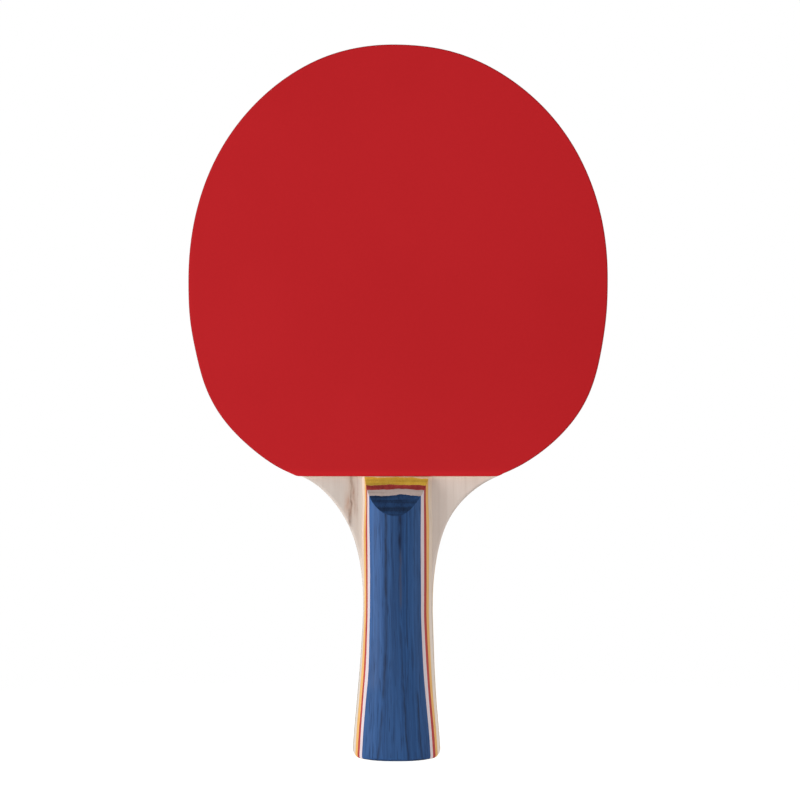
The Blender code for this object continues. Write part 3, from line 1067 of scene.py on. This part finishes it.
def rubber_mat(name, colour, lighter, rough, spec, seed, rim_shade=0.0, foot=0.0):
    """Satin sheet rubber, with painted shade where the rounded rim turns from the front, a
    painted highlight along the straight lower edge, and painted shade and light from
    darker at the lower edge to lighter at the tip."""
    m = Nodes(name)
    geo = m.nt.nodes.new("ShaderNodeNewGeometry")
    ny = m.math('ABSOLUTE', m.xyz(geo.outputs["Normal"])[1])
    z = m.xyz(m.P)[2]
    # painted highlight along the straight lower edge
    u = m.math('MULTIPLY', m.math('SUBTRACT', z, RUBBER_Z + 0.9), 1.0 / 1.25)
    edge_highlight = m.math('EXPONENT', m.math('MULTIPLY', m.math('MULTIPLY', u, u), -1.0))
    # painted shade: darker where the rounded rim turns away from the front
    cut = m.math('MULTIPLY', m.band(ny, 0.992, 0.86),
                 m.band(z, RUBBER_Z + 1.0, RUBBER_Z + 4.0))
    tone = m.math('MULTIPLY_ADD', cut, -rim_shade, 1.0)
    # foot sets the strength of the painted lower-edge highlight
    tone = m.math('MULTIPLY_ADD', edge_highlight, foot, tone)
    # painted shade and light: darker towards the lower edge, lighter towards the tip
    tone = m.math('MULTIPLY', tone, m.band(z, RUBBER_Z, TIP_Z, 0.975, 1.03))
    cloud = m.noise((0.016, 0.016, 0.016), 3.0, 0.5, (seed, 2, 3))
    fine = m.noise((1.1, 1.1, 1.1), 3.0, 0.6, (seed, 5, 1))
    grain = m.noise((9.0, 9.0, 9.0), 2.0, 0.5, (seed, 7, 4))
    f = m.math('MULTIPLY_ADD', m.band(cloud, 0.3, 0.7), 0.6,
               m.math('MULTIPLY', m.band(fine, 0.3, 0.7), 0.4))
    c = m.scale_colour(m.mix(f, colour, lighter), tone)
    r = m.math('MULTIPLY_ADD', fine, 0.10, rough - 0.05)
    h = m.math('MULTIPLY_ADD', fine, 0.6, m.math('MULTIPLY', grain, 0.4))
    nrm = m.bump(h, 0.012 * MM, 0.8)
    return m.finish(c, r, nrm, spec)


def sponge_mat(name, light, dark):
    m = Nodes(name)
    cells = m.voronoi((4.2, 4.2, 4.2))
    small = m.voronoi((8.5, 8.5, 8.5))
    hole = m.math('MULTIPLY_ADD', m.band(cells, 0.18, 0.42), 0.7,
                  m.math('MULTIPLY', m.band(small, 0.15, 0.4), 0.3))
    c = m.mix(hole, dark, light)
    tone = m.noise((0.2, 0.2, 0.2), 2.0, 0.5)
    c = m.mix(m.math('MULTIPLY', tone, 0.25), c, dark)
    nrm = m.bump(hole, 0.12 * MM, 0.9)
    return m.finish(c, 0.92, nrm, 0.2)


MAT = {
    # the last two numbers of each rubber: painted rim shade, painted lower-edge highlight
    "red": rubber_mat("red_rubber_satin", srgb(184, 24, 30), srgb(189, 27, 33),
                      0.60, 0.10, 1, 0.40, 0.12),
    "black": rubber_mat("black_rubber_satin", srgb(30, 30, 31), srgb(38, 38, 40),
                        0.52, 0.30, 6, 0.15, 0.10),
    "sponge": sponge_mat("sponge_open_cell", srgb(236, 186, 108), srgb(176, 118, 52)),
    "core": wood("ayous_core", srgb(232, 211, 180), srgb(206, 178, 144), 1,
                 'z', 0.5, 0.6, 0.25, srgb(150, 118, 84), 0.5, painted_edge_shade,
                 end_grain_shade=0.86),
    "cross": wood("cross_ply_wood", srgb(212, 180, 140), srgb(172, 134, 96), 2,
                  'x', 0.6, 0.7, 0.5, None, 0.5, painted_edge_shade, end_grain_shade=0.86),
    "face": wood("basswood_face", srgb(216, 202, 192), srgb(205, 188, 177), 3,
                 'z', 0.5, 0.6, 0.10, srgb(182, 164, 150), 0.62,
                 streak_and_painted_light, 0.25, end_grain_shade=0.93, ring=0.8),
    "pale": wood("pale_veneer_wood", srgb(222, 204, 188), srgb(204, 184, 164), 4,
                 'z', 0.5, 0.5, 0.2, None, 0.55, pale_ends, 0.25, end_grain_shade=0.9),
    "yellow": wood("yellow_dyed_veneer", srgb(226, 178, 108), srgb(204, 150, 76), 5,
                   'z', 0.6, 0.6, 0.3, srgb(160, 108, 34), 0.55, ochre_ends, 0.25,
                   end_grain_shade=0.86),
    "crimson": wood("red_dyed_veneer", srgb(182, 66, 60), srgb(148, 42, 44), 6,
                    'z', 0.6, 0.6, 0.35, srgb(92, 20, 24), 0.55, spec=0.2,
                    end_grain_shade=0.68),
    "white": wood("white_veneer_wood", srgb(212, 198, 202), srgb(194, 178, 178), 7,
                  'z', 0.5, 0.4, 0.15, None, 0.55, warm_ends, 0.25, end_grain_shade=0.585),
    "blue": wood("blue_dyed_wood", srgb(45, 84, 135), srgb(30, 61, 104), 8,
                 'z', 0.6, 0.8, 0.5, srgb(20, 34, 64), 0.50, blue_veins, 0.16,
                 0.016, end_grain_shade=0.48, fan=True, lines=0.34, hair=4.2),
}


# --------------------------------------------------------------- the pieces
def dress(ob, mat, slot, *nodes):
    ob.data.materials.clear()
    ob.data.materials.append(mat)
    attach(ob, BODY)
    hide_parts(*nodes)
    return ob


BODY = list(frame["bodies"])[0]

dress(make_ply("core_ply", -H_CORE, H_CORE, 1), MAT["core"], "core_wood",
      "blade_core_ply")
for side, tag in ((-1, "front"), (1, "back")):
    dress(make_ply("cross_ply_" + tag, H_CORE + GLUE, H_CROSS, side),
          MAT["cross"], "cross_wood", "blade_cross_ply_" + tag)
    dress(make_ply("face_ply_" + tag, H_CROSS + GLUE, FACE_H, side),
          MAT["face"], "face_wood", "blade_face_ply_" + tag)
    dress(make_sponge("sponge_" + tag, side, 3 + side), MAT["sponge"], "sponge",
          "rubber_sponge_" + tag)

dress(make_topsheet("red_topsheet", -1, 1.0), MAT["red"], "red_rubber",
      "rubber_topsheet_front_red")
dress(make_topsheet("black_topsheet", 1, 2.0), MAT["black"], "black_rubber",
      "rubber_topsheet_back_black")

LAYERS = (("base_veneer", "pale", "pale_veneer"),
          ("yellow_veneer", "yellow", "yellow_veneer"),
          ("red_veneer", "crimson", "red_veneer"),
          ("white_veneer", "white", "white_veneer"),
          ("blue_block", "blue", "blue_wood"))
for side, tag in ((-1, "front"), (1, "back")):
    tool = ramp_tool(side)
    for k, (part, mat, slot) in enumerate(LAYERS):
        ob = make_layer("%s_%s" % (part, tag), k, side)
        plane_ramp(ob, tool)
        dress(ob, MAT[mat], slot, "scale_%s_%s" % (tag, part))
    bpy.data.objects.remove(tool, do_unlink=True)


# -------------------------------------------------------------------- stage
def stage():
    """A white table that fades into the white of the studio."""
    bm = bmesh.new()
    bmesh.ops.create_circle(bm, cap_ends=True, cap_tris=False, segments=96,
                            radius=0.42)
    mesh = bpy.data.meshes.new("floor")
    bm.to_mesh(mesh)
    bm.free()
    floor = bpy.data.objects.new("floor", mesh)
    bpy.context.scene.collection.objects.link(floor)
    mat = bpy.data.materials.new("floor_white")
    mat.use_nodes = True
    nt = mat.node_tree
    b = nt.nodes["Principled BSDF"]
    b.inputs["Base Color"].default_value = (0.80, 0.80, 0.80, 1)
    b.inputs["Roughness"].default_value = 0.9
    b.inputs["Specular IOR Level"].default_value = 0.0
    b.inputs["Emission Color"].default_value = (1, 1, 1, 1)
    b.inputs["Emission Strength"].default_value = 0.93
    tc = nt.nodes.new("ShaderNodeTexCoord")
    ln = nt.nodes.new("ShaderNodeVectorMath")
    ln.operation = 'LENGTH'
    mr = nt.nodes.new("ShaderNodeMapRange")
    mr.interpolation_type = 'SMOOTHSTEP'
    mr.inputs["From Min"].default_value = 0.10
    mr.inputs["From Max"].default_value = 0.36
    mr.inputs["To Min"].default_value = 0.45
    mr.inputs["To Max"].default_value = 0.0
    nt.links.new(tc.outputs["Object"], ln.inputs[0])
    nt.links.new(ln.outputs["Value"], mr.inputs["Value"])
    nt.links.new(mr.outputs["Result"], b.inputs["Alpha"])
    mesh.materials.append(mat)
    floor.location.z = -0.0002

    world = bpy.data.worlds.new("studio")
    bpy.context.scene.world = world
    world.use_nodes = True
    nt = world.node_tree
    nt.nodes.clear()
    out = nt.nodes.new("ShaderNodeOutputWorld")
    mix = nt.nodes.new("ShaderNodeMixShader")
    seen = nt.nodes.new("ShaderNodeBackground")
    seen.inputs[0].default_value = (1, 1, 1, 1)
    seen.inputs[1].default_value = 1.0
    lit = nt.nodes.new("ShaderNodeBackground")
    lit.inputs[0].default_value = (1, 1, 1, 1)
    lit.inputs[1].default_value = 0.28
    path = nt.nodes.new("ShaderNodeLightPath")
    nt.links.new(path.outputs["Is Camera Ray"], mix.inputs[0])
    nt.links.new(lit.outputs[0], mix.inputs[1])
    nt.links.new(seen.outputs[0], mix.inputs[2])
    nt.links.new(mix.outputs[0], out.inputs[0])


def area(name, loc, target, size, watts, colour=(1, 1, 1)):
    d = bpy.data.lights.new(name, 'AREA')
    d.shape = 'RECTANGLE'
    d.size, d.size_y = size
    d.energy = watts
    d.color = colour
    ob = bpy.data.objects.new(name, d)
    bpy.context.scene.collection.objects.link(ob)
    ob.location = loc
    from mathutils import Vector
    v = Vector(target) - Vector(loc)
    ob.rotation_euler = v.to_track_quat('-Z', 'Y').to_euler()
    return ob


stage()
area("key_left", (-1.35, -0.66, 0.20), (0, 0, 0.13), (0.7, 0.5), 17.0)
area("fill_right", (1.48, -0.30, 0.22), (0, 0, 0.13), (0.8, 0.5), 5.4)
area("fill_front", (-0.35, -1.70, 0.22), (0, 0, 0.14), (1.0, 0.5), 7.8)
area("side_right", (1.50, 0.38, 0.22), (0, 0, 0.13), (0.8, 0.5), 3.2)
area("back_left", (-0.75, 1.45, 0.34), (0, 0, 0.13), (0.8, 0.6), 8.0)
area("back_right", (0.75, 1.45, 0.34), (0, 0, 0.13), (0.8, 0.6), 8.0)

cam_data = bpy.data.cameras.new("camera")
cam = bpy.data.objects.new("camera", cam_data)
bpy.context.scene.collection.objects.link(cam)
cam.location = (0.72 * MM, -1.25, 130.4 * MM)
cam.rotation_euler = (math.pi / 2, 0, 0)
cam_data.sensor_width = 36.0
cam_data.lens = 3430.6 * 36.0 / 800.0
cam_data.clip_start = 0.05
bpy.context.scene.camera = cam
bpy.context.scene.view_settings.view_transform = 'Standard'
bpy.context.scene.view_settings.look = 'None'
